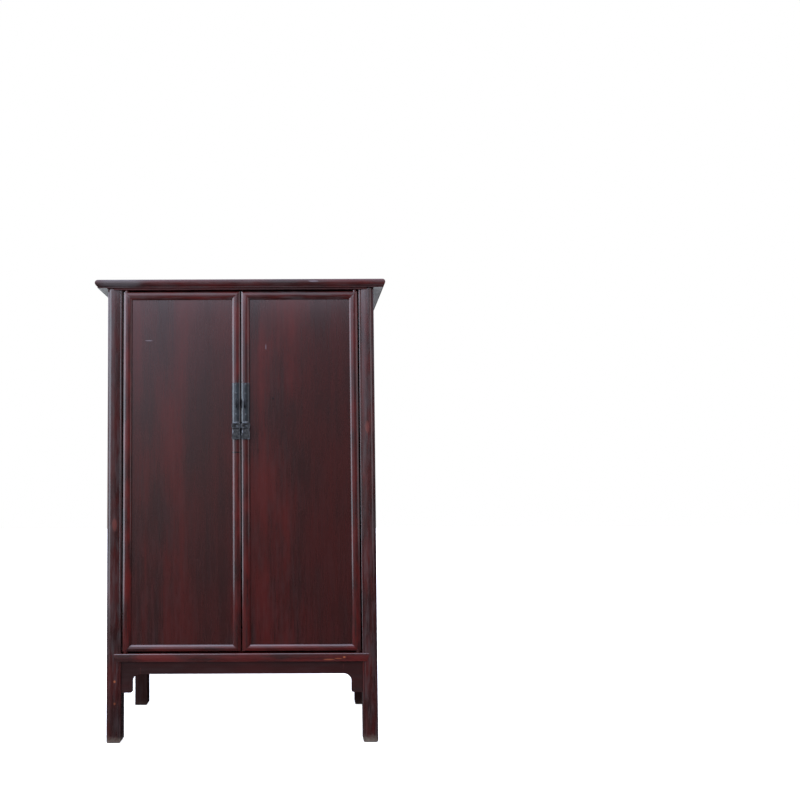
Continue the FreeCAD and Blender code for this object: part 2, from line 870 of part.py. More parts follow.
def pull_staple():
    """The eye that the pull's pin turns in, and its shank through plate and stile."""
    half = S.staple_thickness / 2
    start = (pull_x - half, pull_y, pull_pivot)
    eye = rod("staple_eye", S.staple_eye_radius, S.staple_thickness, start, FRONT, ALONG_X)
    shank = box(
        "staple_shank",
        (pull_x - half, pull_y, pull_pivot - S.staple_shank_height / 2),
        (pull_x + half, plate_front + S.staple_shank_length, pull_pivot + S.staple_shank_height / 2),
        FRONT,
    )
    bore_start = (pull_x - half - S.overrun, pull_y, pull_pivot)
    bore_length = S.staple_thickness + S.overrun * 2
    bore = rod("staple_bore", S.pull_pin_radius + S.pivot_play, bore_length, bore_start, FRONT, ALONG_X)
    return cut("pull_staple", joined("staple_solid", [eye, shank]), [bore])


def pull():
    """A pendant: a thick cap with sloped shoulders, a waist, and a body that widens to the foot."""
    top = pull_pivot
    back = plate_front - S.pull_back_play
    cap_foot = top - S.cap_height
    body_head = cap_foot - S.waist_height
    foot = top - S.pull_length
    shoulder = S.pull_barrel_half_width
    cap_outline = [
        (pull_x - S.cap_half_width, cap_foot),
        (pull_x + S.cap_half_width, cap_foot),
        (pull_x + S.cap_half_width, top - S.cap_shoulder),
        (pull_x + shoulder, top),
        (pull_x - shoulder, top),
        (pull_x - S.cap_half_width, top - S.cap_shoulder),
    ]
    inner_foot = S.pull_half_width - S.pull_corner
    body_outline = [
        (pull_x - inner_foot, foot),
        (pull_x + inner_foot, foot),
        (pull_x + S.pull_half_width, foot + S.pull_corner),
        (pull_x + S.waist_half_width, body_head),
        (pull_x + S.waist_half_width, cap_foot),
        (pull_x - S.waist_half_width, cap_foot),
        (pull_x - S.waist_half_width, body_head),
        (pull_x - S.pull_half_width, foot + S.pull_corner),
    ]
    cap = prism("pull_cap", "XZ_Plane", cap_outline, back - S.cap_thickness, back, FRONT)
    body = prism("pull_body", "XZ_Plane", body_outline, back - S.pull_thickness, back, FRONT)
    barrel_start = (pull_x - shoulder, pull_y, top)
    barrel = rod("pull_barrel", S.pull_barrel_radius, shoulder * 2, barrel_start, FRONT, ALONG_X)
    slot_half = S.staple_thickness / 2 + S.pull_side_play
    slot_depth = S.staple_eye_radius + S.pull_side_play
    slot = box(
        "pull_slot",
        (pull_x - slot_half, pull_y - S.overrun, top - slot_depth),
        (pull_x + slot_half, pull_y + S.overrun, top + slot_depth),
        FRONT,
    )
    slotted = cut("pull_slotted", joined("pull_solid", [cap, body, barrel]), [slot])
    pin_start = (pull_x - slot_half, pull_y, top)
    pin = rod("pull_pin", S.pull_pin_radius, slot_half * 2, pin_start, FRONT, ALONG_X)
    return joined("pull", [slotted, pin])


# Boards, shelves and bearers
def notched_board(name, side_inset, front_inset, rear_inset, bottom, thickness):
    """A level board with a notch round each leg, cut to the walls' distance at its own height."""
    lean = S.splay_share * bottom
    gap = S.board_gap
    side = S.foot_width / 2 - lean - side_inset
    front = lean + front_inset - S.foot_depth / 2
    rear = S.foot_depth / 2 - lean - rear_inset
    notch_x = front_reach(bottom) - gap
    notch_y = side_reach(bottom) - gap
    outline = [
        (-notch_x, front), (notch_x, front), (notch_x, -notch_y), (side, -notch_y),
        (side, notch_y), (notch_x, notch_y), (notch_x, rear), (-notch_x, rear),
        (-notch_x, notch_y), (-side, notch_y), (-side, -notch_y), (-notch_x, -notch_y),
    ]
    return prism(name, "XY_Plane", outline, bottom, bottom + thickness)


def shelf(name, height):
    return notched_board(
        name,
        S.side_panel_set_back + S.side_panel_thickness + S.board_gap,
        door_back + S.shelf_door_gap,
        S.back_panel_set_back + S.back_panel_thickness + S.board_gap,
        height, S.shelf_thickness,
    )


def bearers():
    """Bars from leg to leg on both side walls, one under each end of each shelf."""
    back = S.side_panel_set_back + S.side_panel_thickness
    bars = []
    for number, height in enumerate((height_at(S.lower_shelf_share), height_at(S.upper_shelf_share)), 1):
        half = side_reach(height) + S.bearer_tenon
        for side, frame in (("left", LEFT), ("right", RIGHT)):
            low = (-half, back, height - S.bearer_height)
            high = (half, back + S.bearer_width, height)
            bars.append(box(f"{side}_bearer_{number}", low, high, frame))
    return group("shelf_bearers", bars)


def wall_panel(name, reach, low, high, set_back, thickness, frame):
    outline = between_legs(reach, low, high, S.tongue)
    return prism(name, "XZ_Plane", outline, set_back, set_back + thickness, frame)


def side_battens(name, frame):
    front = S.side_panel_set_back + S.side_panel_thickness
    return group(name, bars_across(
        f"{name}_bar", SIDE_BATTEN_SHARES, S.rail_top_height, leg_top, S.panel_batten_height,
        lambda height: -side_reach(height), side_reach, front, front + S.panel_batten_thickness, frame,
    ))


def rear_mid_rail():
    low = height_at(S.rear_mid_rail_share) - S.rear_mid_rail_width / 2
    high = low + S.rear_mid_rail_width
    front, back = S.rear_mid_rail_set_back, S.rear_mid_rail_set_back + S.rear_mid_rail_depth
    bar = prism("rear_mid_bar", "XZ_Plane", between_legs(front_reach, low, high), front, back, REAR)
    reach = front_reach(high) + S.tenon_length
    shoulder = S.tenon_shoulder
    middle = (front + back) / 2
    tenons = box(
        "rear_mid_tenons",
        (-reach, middle - S.tenon_depth / 2, low + shoulder),
        (reach, middle + S.tenon_depth / 2, high - shoulder), REAR,
    )
    return joined("rear_mid_blank", [bar, tenons])


def level_bars(name, spread, width, front, rear, bottom, top):
    """Two bars from front to back, one on each side of the middle."""
    bars = []
    for number, side in enumerate((-1, 1), 1):
        middle = spread * side / 2
        low, high = (middle - width / 2, front, bottom), (middle + width / 2, rear, top)
        bars.append(box(f"{name}_{number}", low, high))
    return group(name, bars)


# Walls: the panels and rails that the legs and the crown are cut to take
front_rail_blank = bottom_rail("front_rail", front_reach, FRONT)
rear_rail_blank = bottom_rail("rear_rail", front_reach, REAR)
left_rail_blank = bottom_rail("left_rail", side_reach, LEFT)
right_rail_blank = bottom_rail("right_rail", side_reach, RIGHT)

side_panel_args = (side_reach, panel_foot, panel_head, S.side_panel_set_back, S.side_panel_thickness)
left_panel = keep(wall_panel("left_panel", *side_panel_args, LEFT), "left_side_panel")
right_panel = keep(wall_panel("right_panel", *side_panel_args, RIGHT), "right_side_panel")
back_args = (S.back_panel_set_back, S.back_panel_thickness, REAR)
mid_low = height_at(S.rear_mid_rail_share) - S.rear_mid_rail_width / 2
mid_high = mid_low + S.rear_mid_rail_width
lower_back = keep(
    wall_panel("lower_back", front_reach, panel_foot, mid_low + S.tongue, *back_args), "back_lower_panel"
)
upper_back = keep(
    wall_panel("upper_back", front_reach, mid_high - S.tongue, panel_head, *back_args), "back_upper_panel"
)
mid_rail_blank = rear_mid_rail()
keep(cut("rear_mid_shaped", mid_rail_blank, [lower_back, upper_back]), "rear_mid_rail")
keep(side_battens("left_battens", LEFT), "left_panel_battens")
keep(side_battens("right_battens", RIGHT), "right_panel_battens")
bearer_group = keep(bearers(), "shelf_bearers")

# Strip under the crown, lapping the legs like the rails do
strip_low = leg_top - S.top_strip_height
strip_tips = prism(
    "strip_tips", "XZ_Plane",
    between_legs(front_reach, strip_low, leg_top, S.top_strip_lap), -S.rail_proud, S.rail_tip_depth, FRONT,
)
strip_core = prism(
    "strip_core", "XZ_Plane",
    between_legs(front_reach, strip_low, leg_top), S.rail_tip_depth, S.top_strip_depth, FRONT,
)
strip_blank = joined("strip_blank", [strip_tips, strip_core])

# Legs
left_sockets = pivot_sockets()
right_sockets = [mirrored(f"right_socket_{i}", socket, ACROSS_X) for i, socket in enumerate(left_sockets)]
front_left = leg_blank()
front_right = mirrored("leg_front_right_blank", front_left, ACROSS_X)
rear_left = mirrored("leg_rear_left_blank", front_left, ACROSS_Y)
rear_right = mirrored("leg_rear_right_blank", front_right, ACROSS_Y)
front_takes = [front_rail_blank, strip_blank, bearer_group]
rear_takes = [rear_rail_blank, mid_rail_blank, lower_back, upper_back, bearer_group]
keep(cut("leg_1", front_left, front_takes + [left_rail_blank, left_panel]), "front_left_leg")
keep(cut("leg_2", front_right, front_takes + [right_rail_blank, right_panel]), "front_right_leg")
keep(cut("leg_3", rear_left, rear_takes + [left_rail_blank, left_panel]), "rear_left_leg")
keep(cut("leg_4", rear_right, rear_takes + [right_rail_blank, right_panel]), "rear_right_leg")

# Aprons and spandrels
front_apron = keep(apron("front_apron", front_reach, FRONT), "front_apron")
left_apron = keep(apron("left_apron", side_reach, LEFT), "left_apron")
right_apron = keep(apron("right_apron", side_reach, RIGHT), "right_apron")
front_left_spandrel = keep(spandrel("front_spandrel", front_reach, FRONT), "front_left_spandrel")
front_right_spandrel = keep(
    mirrored("front_spandrel_right", front_left_spandrel, ACROSS_X), "front_right_spandrel"
)
left_rear_spandrel = spandrel("left_rear_spandrel", side_reach, LEFT)
left_front_spandrel = mirrored("left_front_spandrel", left_rear_spandrel, ACROSS_Y)
left_spandrels = keep(
    group("left_spandrels", [left_front_spandrel, left_rear_spandrel]), "left_side_spandrels"
)
right_spandrels = keep(
    group("right_spandrels", [
        mirrored("right_front_spandrel", left_front_spandrel, ACROSS_X),
        mirrored("right_rear_spandrel", left_rear_spandrel, ACROSS_X),
    ]), "right_side_spandrels",
)
rear_apron = keep(
    prism(
        "rear_apron", "XZ_Plane", between_legs(front_reach, apron_bottom, apron_top),
        S.apron_set_back, apron_back, REAR,
    ), "rear_apron",
)

# Floor and shelves
rail_inside = S.rail_depth - S.rail_proud - S.tongue
bottom_board = keep(
    notched_board("bottom_board", rail_inside, rail_inside, rail_inside, floor_bottom, S.board_thickness),
    "bottom_board",
)
batten_front = S.rail_depth - S.rail_proud + S.splay_share * rail_bottom - S.foot_depth / 2 - S.tongue
floor_battens = keep(
    level_bars(
        "floor_batten", S.floor_batten_spread, S.floor_batten_width,
        batten_front, -batten_front, rail_bottom, floor_bottom,
    ), "bottom_battens",
)
keep(shelf("shelf_low", height_at(S.lower_shelf_share)), "lower_shelf")
keep(shelf("shelf_high", height_at(S.upper_shelf_share)), "upper_shelf")

# Bottom rails, cut for what stands in them
floor_pieces = [bottom_board, floor_battens]
keep(
    cut("front_rail_cut", front_rail_blank, floor_pieces + [
        front_apron, front_left_spandrel, front_right_spandrel, left_sockets[0], right_sockets[0],
    ]), "front_bottom_rail",
)
keep(cut("rear_rail_cut", rear_rail_blank, floor_pieces + [rear_apron, lower_back]), "rear_bottom_rail")
keep(
    cut("left_rail_cut", left_rail_blank, [bottom_board, left_apron, left_spandrels, left_panel]),
    "left_bottom_rail",
)
keep(
    cut("right_rail_cut", right_rail_blank, [bottom_board, right_apron, right_spandrels, right_panel]),
    "right_bottom_rail",
)
keep(cut("strip_cut", strip_blank, [left_sockets[1], right_sockets[1]]), "front_top_rail")

# Crown
crown_front, crown_rear, crown_left, crown_right = crown_rails()
front_legs, rear_legs = [front_left, front_right], [rear_left, rear_right]
side_panels = [left_panel, right_panel]
keep(
    cut("crown_front_cut", crown_front, front_legs + side_panels + [left_sockets[1], right_sockets[1]]),
    "crown_front_rail",
)
keep(cut("crown_rear_cut", crown_rear, rear_legs + side_panels + [upper_back]), "crown_rear_rail")
keep(cut("crown_left_cut", crown_left, [front_left, rear_left, left_panel]), "crown_left_end")
keep(cut("crown_right_cut", crown_right, [front_right, rear_right, right_panel]), "crown_right_end")
crown_half = crown_half_length - S.crown_rail_width + S.tongue
crown_deep = crown_half_depth - S.crown_rail_width + S.tongue
crown_board_top = S.total_height - S.crown_panel_drop
crown_board_bottom = crown_board_top - S.crown_panel_thickness
keep(
    box(
        "crown_board", (-crown_half, -crown_deep, crown_board_bottom),
        (crown_half, crown_deep, crown_board_top),
    ), "crown_panel",
)
crown_bar_end = crown_half_depth - S.crown_rail_width
keep(
    level_bars(
        "crown_batten", S.crown_batten_spread, S.crown_batten_width,
        -crown_bar_end, crown_bar_end, leg_top, crown_board_bottom,
    ), "crown_battens",
)

# Doors and what they carry
members = door_frame()
pivots = door_pivots()
staple = pull_staple()
lug = lock_lug()
nails = plate_nails()
hardware = [staple, lug, nails]
left_door = {
    "outer_stile": joined("outer_stile_whole", [members["outer_stile"]] + pivots),
    "inner_stile": cut("inner_stile_cut", members["inner_stile"], hardware),
    "door_top_rail": cut("door_top_cut", members["door_top_rail"], pivots[1:]),
    "door_bottom_rail": cut("door_bottom_cut", members["door_bottom_rail"], pivots[:1]),
    "door_panel": door_panel(),
    "door_battens": door_battens(),
    "face_plate": cut("face_plate_cut", face_plate(), hardware),
    "plate_nails": nails,
    "lock_lug": lug,
    "pull_staple": staple,
    "pull": pull(),
}
for piece, item in left_door.items():
    keep(item, f"left_{piece}")
    keep(mirrored(f"mirror_{piece}", item, ACROSS_X), f"right_{piece}")

doc.recompute()

# Every object has to have been worked out, and every sub-part has to be sound
for item in doc.Objects:
    if "Invalid" in item.State or "Error" in item.State:
        raise RuntimeError(f"{item.Name} ({item.Label}) failed: {item.State}")
for item in subparts:
    if item.Shape.isNull() or not item.Shape.isValid() or not item.Shape.Solids:
        raise RuntimeError(f"{item.Label} has no sound shape")

os.makedirs("parts", exist_ok=True)
for item in subparts:
    item.Shape.exportStep(os.path.join("parts", f"{item.Label}.step"))
print(len(subparts), "sub-parts written")
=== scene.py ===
import bpy
import math
from mathutils import Matrix, Vector

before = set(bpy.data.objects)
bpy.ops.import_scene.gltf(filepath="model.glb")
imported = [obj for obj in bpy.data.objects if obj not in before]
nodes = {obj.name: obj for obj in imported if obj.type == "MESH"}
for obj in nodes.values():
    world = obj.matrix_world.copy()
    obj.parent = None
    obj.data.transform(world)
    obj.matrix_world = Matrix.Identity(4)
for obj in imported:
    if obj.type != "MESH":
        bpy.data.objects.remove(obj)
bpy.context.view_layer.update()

# Places on the cabinet, in metres
CROWN_FOOT = 1.748
OVERHANG_START = 0.511
OVERHANG_BLEND = 0.004
UNDERSIDE_SKIN_LOW = 0.0002
UNDERSIDE_SKIN_HIGH = 0.0006
WORN_FOOT_TOP = 0.060
WORN_FOOT_FULL = 0.026
WORN_FOOT_RAGGED = 0.05
PULL_MIDDLE = 0.0183

# Colours, as scene-linear red, green and blue
DARK_LACQUER = (0.0130, 0.0050, 0.0042, 1.0)
RED_LACQUER = (0.064, 0.0060, 0.0045, 1.0)
RUBBED_LACQUER = (0.085, 0.022, 0.016, 1.0)
# Grey old wax; on the crown's left end it is also a painted reflection.
WAX_FILM_AND_SHEEN = (0.046, 0.039, 0.037, 1.0)
# Near-black for soot and dark grain, and for painted shade in hollows and gaps.
SOOT_AND_SHADE = (0.0025, 0.0022, 0.0022, 1.0)
WORN_FOOT = (0.085, 0.066, 0.050, 1.0)
DUSTY_UNDERSIDE = (0.24, 0.235, 0.20, 1.0)
PALE_SCRATCH = (0.12, 0.10, 0.11, 1.0)
ORANGE_RUB = (0.20, 0.055, 0.02, 1.0)
INNER_WOOD = (0.125, 0.062, 0.030, 1.0)
INNER_WOOD_DARK = (0.068, 0.032, 0.016, 1.0)
IRON = (0.013, 0.018, 0.020, 1.0)
IRON_DARK = (0.007, 0.008, 0.009, 1.0)
# Bright iron at rubbed edges, also used as painted highlight on the pulls.
IRON_BRIGHT = (0.20, 0.22, 0.24, 1.0)
RUST = (0.030, 0.017, 0.012, 1.0)
PULL_IRON = (0.037, 0.038, 0.036, 1.0)
# Dark lug iron made near-black, partly as painted shade for the shadow the lugs cast.
LUG_IRON_WITH_PAINTED_SHADE = (0.004, 0.0045, 0.005, 1.0)
FLOOR_LIGHT = (0.50, 0.50, 0.50, 1.0)
FLOOR_DARK = (0.47, 0.47, 0.47, 1.0)
NEAR_SKY = (0.98, 0.96, 1.03, 1.0)
FAR_SKY = (0.86, 0.92, 1.22, 1.0)
WHITE = (1.0, 1.0, 1.0, 1.0)

# How a place is stretched so that the grain runs up, across or back
UP = (1.0, 1.0, 0.022)
ACROSS = (0.022, 1.0, 1.0)
BACK = (1.0, 0.022, 1.0)
LEAST_LACQUER_ZONE = 0.30
LEAST_FILM = 0.12
LEAST_BARE_ZONE = 0.10

# How noise is cut into streaks, zones and pores
STREAK_CUT, ZONE_CUT, PORE_CUT = (0.32, 0.68), (0.36, 0.66), (0.60, 0.70)
BROAD_ZONES, NARROW_ZONES = 0.70, 0.30
DUST_ROUGHNESS = 0.4


# Shader nodes
class Bench:
    """One node tree to build on."""

    def __init__(self, tree):
        self.tree = tree

    def add(self, kind, **settings):
        node = self.tree.nodes.new(kind)
        for setting, value in settings.items():
            setattr(node, setting, value)
        return node

    def feed(self, socket, value):
        """Joins another node's output to a socket, or sets the socket's own value."""
        if isinstance(value, bpy.types.NodeSocket):
            self.tree.links.new(value, socket)
        else:
            socket.default_value = value

    def sum_of(self, kind, first, second, third=0.0):
        node = self.add("ShaderNodeMath", operation=kind)
        for socket, value in zip(node.inputs, (first, second, third)):
            self.feed(socket, value)
        return node.outputs[0]

    def times(self, first, second):
        return self.sum_of("MULTIPLY", first, second)

    def ramp(self, value, low, high, start=0.0, end=1.0):
        """A smooth step from start to end as a value goes from low to high."""
        node = self.add("ShaderNodeMapRange", interpolation_type="SMOOTHSTEP")
        for socket, number in zip(node.inputs, (value, low, high, start, end)):
            self.feed(socket, number)
        return node.outputs[0]

    def tint(self, factor, first, second, kind="MIX"):
        node = self.add("ShaderNodeMix", data_type="RGBA", blend_type=kind)
        self.feed(node.inputs[0], factor)
        self.feed(node.inputs[6], first)
        self.feed(node.inputs[7], second)
        return node.outputs[2]

    def stretched(self, place, scale, shift=(0.0, 0.0, 0.0)):
        node = self.add("ShaderNodeMapping")
        self.feed(node.inputs["Vector"], place)
        node.inputs["Location"].default_value = shift
        node.inputs["Scale"].default_value = scale
        return node.outputs[0]

    def noise(self, place, scale, detail, roughness):
        node = self.add("ShaderNodeTexNoise")
        self.feed(node.inputs["Vector"], place)
        self.feed(node.inputs["Scale"], scale)
        node.inputs["Detail"].default_value = detail
        node.inputs["Roughness"].default_value = roughness
        return node.outputs["Fac"]


def shared_effect(name, inputs, outputs):
    """An empty node group with named sockets, its bench, and its two ends."""
    tree = bpy.data.node_groups.new(name, "ShaderNodeTree")
    for label, kind, value in inputs:
        socket = tree.interface.new_socket(label, in_out="INPUT", socket_type=kind)
        if value is not None:
            socket.default_value = value
    for label, kind in outputs:
        tree.interface.new_socket(label, in_out="OUTPUT", socket_type=kind)
    bench = Bench(tree)
    return bench, bench.add("NodeGroupInput").outputs, bench.add("NodeGroupOutput").inputs


NUMBER, VECTOR = "NodeSocketFloat", "NodeSocketVector"


def make_wood_grain():
    """Fine streaks, broad coloured zones and pores; the places arrive stretched along the grain."""
    bench, given, made = shared_effect(
        "wood grain",
        [("Place", VECTOR, None), ("Zone Place", VECTOR, None),
         ("Streak Scale", NUMBER, 210.0), ("Zone Scale", NUMBER, 15.0)],
        [("Streaks", NUMBER), ("Zones", NUMBER), ("Pores", NUMBER)],
    )
    place = given["Place"]
    streaks = bench.noise(place, given["Streak Scale"], detail=4.0, roughness=0.62)
    bench.feed(made["Streaks"], bench.ramp(streaks, *STREAK_CUT))
    broad = bench.noise(given["Zone Place"], given["Zone Scale"], detail=3.5, roughness=0.55)
    narrow = bench.noise(place, bench.times(given["Zone Scale"], 5.0), detail=3.0, roughness=0.6)
    zones = bench.sum_of("MULTIPLY_ADD", narrow, NARROW_ZONES, bench.times(broad, BROAD_ZONES))
    bench.feed(made["Zones"], bench.ramp(zones, *ZONE_CUT))
    pores = bench.noise(place, bench.times(given["Streak Scale"], 3.4), detail=2.0, roughness=0.5)
    bench.feed(made["Pores"], bench.ramp(pores, *PORE_CUT))
    return bench.tree


def make_rubbed_edges():
    """Where an edge stands proud, broken up by handling."""
    bench, given, made = shared_effect(
        "rubbed edges",
        [("Place", VECTOR, None), ("Reach", NUMBER, 0.003), ("Break Scale", NUMBER, 40.0)],
        [("Mask", NUMBER)],
    )
    rounded = bench.add("ShaderNodeBevel", samples=6)
    bench.feed(rounded.inputs["Radius"], given["Reach"])
    facing = bench.add("ShaderNodeNewGeometry").outputs["Normal"]
    turn = bench.add("ShaderNodeVectorMath", operation="DOT_PRODUCT")
    bench.feed(turn.inputs[0], rounded.outputs[0])
    bench.feed(turn.inputs[1], facing)
    edge = bench.ramp(turn.outputs["Value"], 0.99, 0.86)
    handling = bench.noise(given["Place"], given["Break Scale"], detail=4.0, roughness=0.6)
    broken = bench.ramp(handling, 0.42, 0.62)
    bench.feed(made["Mask"], bench.times(edge, broken))
    return bench.tree


def make_dirt_and_painted_shade():
    """Soot and old wax that lie in corners and grooves, with painted shade: occlusion darkens corners,
    grooves and gaps between parts.
    """
    bench, given, made = shared_effect(
        "dirt and painted shade",
        [("Place", VECTOR, None), ("Reach", NUMBER, 0.012), ("Break Scale", NUMBER, 25.0)],
        [("Mask", NUMBER)],
    )
    hollow = bench.add("ShaderNodeAmbientOcclusion", samples=6)
    bench.feed(hollow.inputs["Distance"], given["Reach"])
    depth = bench.ramp(hollow.outputs["AO"], 0.75, 0.25)
    crumbs = bench.noise(given["Place"], given["Break Scale"], detail=3.0, roughness=0.6)
    broken = bench.ramp(crumbs, 0.25, 0.6, start=0.55)
    bench.feed(made["Mask"], bench.times(depth, broken))
    return bench.tree


def make_single_mark():
    """One soft-edged mark at a place, as wide, deep and tall as it says."""
    bench, given, made = shared_effect(
        "single mark",
        [("Place", VECTOR, None), ("Centre", VECTOR, None),
         ("Half Size", VECTOR, None), ("Ragged", NUMBER, 0.5)],
        [("Mask", NUMBER)],
    )
    away = bench.add("ShaderNodeVectorMath", operation="SUBTRACT")
    bench.feed(away.inputs[0], given["Place"])
    bench.feed(away.inputs[1], given["Centre"])
    shares = bench.add("ShaderNodeVectorMath", operation="DIVIDE")
    bench.feed(shares.inputs[0], away.outputs[0])
    bench.feed(shares.inputs[1], given["Half Size"])
    length = bench.add("ShaderNodeVectorMath", operation="LENGTH")
    bench.feed(length.inputs[0], shares.outputs[0])
    crumbs = bench.noise(given["Place"], scale=420.0, detail=3.0, roughness=0.6)
    ragged = bench.times(bench.sum_of("SUBTRACT", crumbs, 0.5), given["Ragged"])
    reach = bench.sum_of("ADD", length.outputs["Value"], ragged)
    bench.feed(made["Mask"], bench.ramp(reach, 1.0, 0.55))
    return bench.tree


wood_grain = make_wood_grain()
rubbed_edges = make_rubbed_edges()
dirt_and_painted_shade = make_dirt_and_painted_shade()
single_mark = make_single_mark()


def effect(bench, tree, **values):
    """Places a shared effect, with its own values."""
    node = bench.add("ShaderNodeGroup", node_tree=tree)
    for name, value in values.items():
        bench.feed(node.inputs[name.replace("_", " ")], value)
    return node.outputs


def finish_on(name):
    """A new material with its bench, its shader and the place on the piece."""
    material = bpy.data.materials.new(name)
    material.use_nodes = True
    bench = Bench(material.node_tree)
    shader = material.node_tree.nodes["Principled BSDF"]
    place = bench.add("ShaderNodeTexCoord").outputs["Object"]
    return material, bench, shader.inputs, place


def raise_surface(bench, shader, height, depth, corner):
    """Bumps the surface and rounds its corners."""
    rounded = bench.add("ShaderNodeBevel", samples=4)
    rounded.inputs["Radius"].default_value = corner
    bump = bench.add("ShaderNodeBump")
    bump.inputs["Distance"].default_value = depth
    bump.inputs["Strength"].default_value = 0.6
    bench.feed(bump.inputs["Height"], height)
    bench.feed(bump.inputs["Normal"], rounded.outputs[0])
    bench.feed(shader["Normal"], bump.outputs[0])


def marked(bench, place, colour, marks):
    """Lays single marks over a colour, one after another."""
    for centre, half_size, tone, strength in marks:
        mark = effect(bench, single_mark, Place=place, Centre=centre, Half_Size=half_size)
        colour = bench.tint(bench.times(mark["Mask"], strength), colour, tone)
    return colour


def worn_foot(bench, place, height, colour, rough, strength):
    """Bare, scuffed wood at the lowest few centimetres of a leg."""
    scuffs = bench.noise(place, scale=90.0, detail=5.0, roughness=0.7)
    uneven = bench.times(scuffs, WORN_FOOT_RAGGED)
    low = bench.ramp(bench.sum_of("ADD", height, uneven), WORN_FOOT_TOP, WORN_FOOT_FULL)
    worn = bench.times(low, strength)
    rough = bench.sum_of("MULTIPLY_ADD", worn, DUST_ROUGHNESS, rough)
    return bench.tint(worn, colour, WORN_FOOT), rough


def dusty_underside(bench, place, axes, colour, rough):
    """Pale dust under the crown, where it hangs out past the legs."""
    facing = bench.add("ShaderNodeSeparateXYZ")
    bench.feed(facing.inputs[0], bench.add("ShaderNodeNewGeometry").outputs["True Normal"])
    lowest = bench.ramp(axes["Z"], CROWN_FOOT + UNDERSIDE_SKIN_HIGH, CROWN_FOOT + UNDERSIDE_SKIN_LOW)
    below = bench.times(lowest, bench.ramp(facing.outputs["Z"], -0.8, -0.95))
    sideways = bench.sum_of("ABSOLUTE", axes["X"], 0.0)
    aside = bench.ramp(sideways, OVERHANG_START, OVERHANG_START + OVERHANG_BLEND)
    specks = bench.noise(place, scale=300.0, detail=5.0, roughness=0.7)
    grit = bench.ramp(specks, 0.2, 0.6, start=0.6)
    dusty = bench.times(below, bench.times(aside, grit))
    rough = bench.sum_of("MULTIPLY_ADD", dusty, DUST_ROUGHNESS, rough)
    return bench.tint(dusty, colour, DUSTY_UNDERSIDE), rough


def lacquer(name, grain, redness, shift, marks=(), foot=0.0, underside=False,
            zone_scale=7.5, gloss=0.8, dullness=0.18, waxed=0.10, shade_and_dirt_reach=0.012):
    """Old red-black lacquer over wood: dark where it is thick, red where it has worn thin."""
    zone_share, streak_share = 0.75, 0.25
    streak_shade, pore_shade, edge_shade, shade_and_dirt_strength = 0.20, 0.30, 0.6, 0.85
    base_roughness, streak_roughness, shade_and_dirt_roughness = 0.5, 0.10, 0.25
    film_polish, shade_and_dirt_polish = -0.18, 0.12
    material, bench, shader, place = finish_on(name)
    along = bench.stretched(place, grain, shift)
    zone_place = bench.stretched(place, [max(share, LEAST_LACQUER_ZONE) for share in grain], shift)
    wood = effect(
        bench, wood_grain, Place=along, Zone_Place=zone_place, Zone_Scale=zone_scale, Streak_Scale=260.0
    )
    streaks, pores = wood["Streaks"], wood["Pores"]
    thin = bench.sum_of("MULTIPLY_ADD", wood["Zones"], zone_share, bench.times(streaks, streak_share))
    colour = bench.tint(bench.times(thin, redness), DARK_LACQUER, RED_LACQUER)
    film_place = bench.stretched(place, [max(share, LEAST_FILM) for share in grain], shift)
    film = bench.ramp(bench.noise(film_place, scale=85.0, detail=4.0, roughness=0.62), 0.40, 0.68)
    colour = bench.tint(bench.times(film, waxed), colour, WAX_FILM_AND_SHEEN)
    colour = bench.tint(bench.times(streaks, streak_shade), colour, SOOT_AND_SHADE)
    colour = bench.tint(bench.times(pores, pore_shade), colour, SOOT_AND_SHADE)
    edges = effect(bench, rubbed_edges, Place=place)
    colour = bench.tint(bench.times(edges["Mask"], edge_shade), colour, RUBBED_LACQUER)
    colour = marked(bench, place, colour, marks)
    # Painted shade and dirt: corners, grooves and gaps are darkened towards soot and lose their coat.
    shade_and_dirt = effect(bench, dirt_and_painted_shade, Place=place, Reach=shade_and_dirt_reach)
    colour = bench.tint(bench.times(shade_and_dirt["Mask"], shade_and_dirt_strength), colour, SOOT_AND_SHADE)
    rough = bench.sum_of("MULTIPLY_ADD", streaks, streak_roughness, base_roughness)
    rough = bench.sum_of("MULTIPLY_ADD", shade_and_dirt["Mask"], shade_and_dirt_roughness, rough)
    axes = bench.add("ShaderNodeSeparateXYZ")
    bench.feed(axes.inputs[0], place)
    if foot:
        colour, rough = worn_foot(bench, place, axes.outputs["Z"], colour, rough, foot)
    if underside:
        colour, rough = dusty_underside(bench, place, axes.outputs, colour, rough)
    bench.feed(shader["Base Color"], colour)
    bench.feed(shader["Roughness"], rough)
    shader["Specular IOR Level"].default_value = 0.0
    polish = bench.sum_of("MULTIPLY_ADD", film, gloss * film_polish, gloss)
    clean = bench.ramp(shade_and_dirt["Mask"], 0.0, 0.8, start=1.0, end=shade_and_dirt_polish)
    bench.feed(shader["Coat Weight"], bench.times(polish, clean))
    shader["Coat Roughness"].default_value = dullness
    relief = bench.sum_of("MULTIPLY_ADD", pores, -0.6, streaks)
    raise_surface(bench, shader, relief, depth=0.00012, corner=0.0012)
    return material


